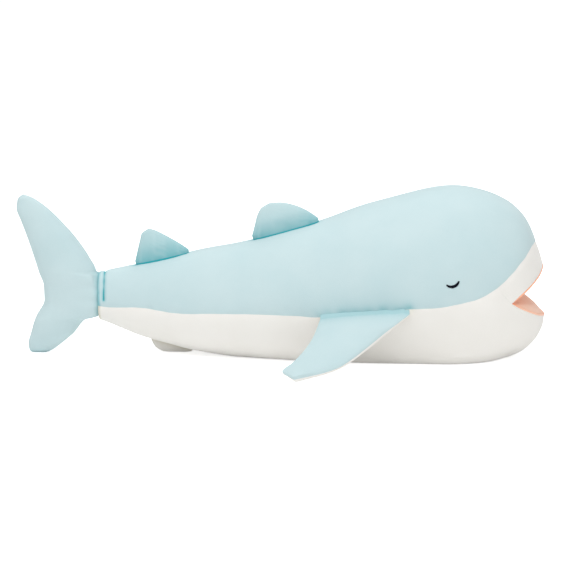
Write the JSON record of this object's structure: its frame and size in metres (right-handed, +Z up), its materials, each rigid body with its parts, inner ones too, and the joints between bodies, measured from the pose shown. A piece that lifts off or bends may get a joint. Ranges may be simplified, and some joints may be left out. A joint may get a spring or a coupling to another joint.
{
  "type": "plush shark",
  "caption": "Stuffed knit shark lying on its belly, with a forked upright tail, back fins, side fins that lift and an open coral-lined mouth.",
  "frame": {"origin": "middle of the bounding box, on the surface that the shark lies on", "axes": "+X from tail to nose, +Y to the shark's left, +Z up"},
  "size_m": [0.6001, 0.3432, 0.1912],
  "materials": {
    "blue_knit": "matte",
    "cream_knit": "matte",
    "coral_lining": "matte",
    "eye_thread": "satin",
    "fibre_fill": "matte"
  },
  "bodies": {
    "front_body": {"head_fill": "fibre_fill", "back_panel_left": "blue_knit", "back_panel_right": "blue_knit", "belly_panel": "cream_knit", "snout_panel": "cream_knit", "mouth_roof_lining": "coral_lining", "mouth_floor_lining": "coral_lining", "eye_stitching_left": "eye_thread", "eye_stitching_right": "eye_thread", "waist_fill": "fibre_fill"},
    "rear_body": {"rear_fill": "fibre_fill"},
    "tail_fin": {"tail_fin_left_panel": "blue_knit", "tail_fin_right_panel": "blue_knit", "tail_fin_fill": "fibre_fill"},
    "front_dorsal_fin": {"front_dorsal_left_panel": "blue_knit", "front_dorsal_right_panel": "blue_knit", "front_dorsal_fill": "fibre_fill"},
    "rear_dorsal_fin": {"rear_dorsal_left_panel": "blue_knit", "rear_dorsal_right_panel": "blue_knit", "rear_dorsal_fill": "fibre_fill"},
    "pectoral_fin_left": {"pectoral_left_top_panel": "blue_knit", "pectoral_left_under_panel": "cream_knit", "pectoral_left_fill": "fibre_fill"},
    "pectoral_fin_right": {"pectoral_right_top_panel": "blue_knit", "pectoral_right_under_panel": "cream_knit", "pectoral_right_fill": "fibre_fill"},
    "pelvic_fin": {"pelvic_left_panel": "cream_knit", "pelvic_right_panel": "cream_knit", "pelvic_fill": "fibre_fill"}
  },
  "joints": [
    {"name": "waist_bend", "type": "hinge", "parent": "front_body", "child": "rear_body", "pos_m": [-0.068, 0, 0.06], "axis": [0, 0, 1], "range_deg": [-20, 20], "stiffness_Nm_per_rad": 0.8, "deforming": ["waist_fill", "back_panel_left", "back_panel_right", "belly_panel"]},
    {"name": "tail_swing", "type": "hinge", "parent": "rear_body", "child": "tail_fin", "pos_m": [-0.208, 0, 0.067], "axis": [0, 0, 1], "range_deg": [-45, 45], "stiffness_Nm_per_rad": 0.05},
    {"name": "front_dorsal_lean", "type": "hinge", "parent": "front_body", "child": "front_dorsal_fin", "pos_m": [-0.03201, 0, 0.13468], "axis": [0.964, 0, 0.2659], "range_deg": [-40, 40], "stiffness_Nm_per_rad": 0.005},
    {"name": "rear_dorsal_lean", "type": "hinge", "parent": "rear_body", "child": "rear_dorsal_fin", "pos_m": [-0.16487, 0, 0.10591], "axis": [0.977, 0, 0.2133], "range_deg": [-40, 40], "stiffness_Nm_per_rad": 0.005},
    {"name": "pectoral_left_flap", "type": "hinge", "parent": "front_body", "child": "pectoral_fin_left", "pos_m": [0.04343, 0.08935, 0.0562], "axis": [0.9871, 0.1158, 0.1108], "range_deg": [0, 60], "stiffness_Nm_per_rad": 0.02},
    {"name": "pectoral_right_flap", "type": "hinge", "parent": "front_body", "child": "pectoral_fin_right", "pos_m": [0.04343, -0.08935, 0.0562], "axis": [-0.9871, 0.1158, -0.1108], "range_deg": [0, 60], "stiffness_Nm_per_rad": 0.02},
    {"name": "pelvic_lean", "type": "hinge", "parent": "rear_body", "child": "pelvic_fin", "pos_m": [-0.148, 0, 0.01489], "axis": [0.9645, 0, -0.2642], "range_deg": [-30, 30], "stiffness_Nm_per_rad": 0.0002}
  ]
}
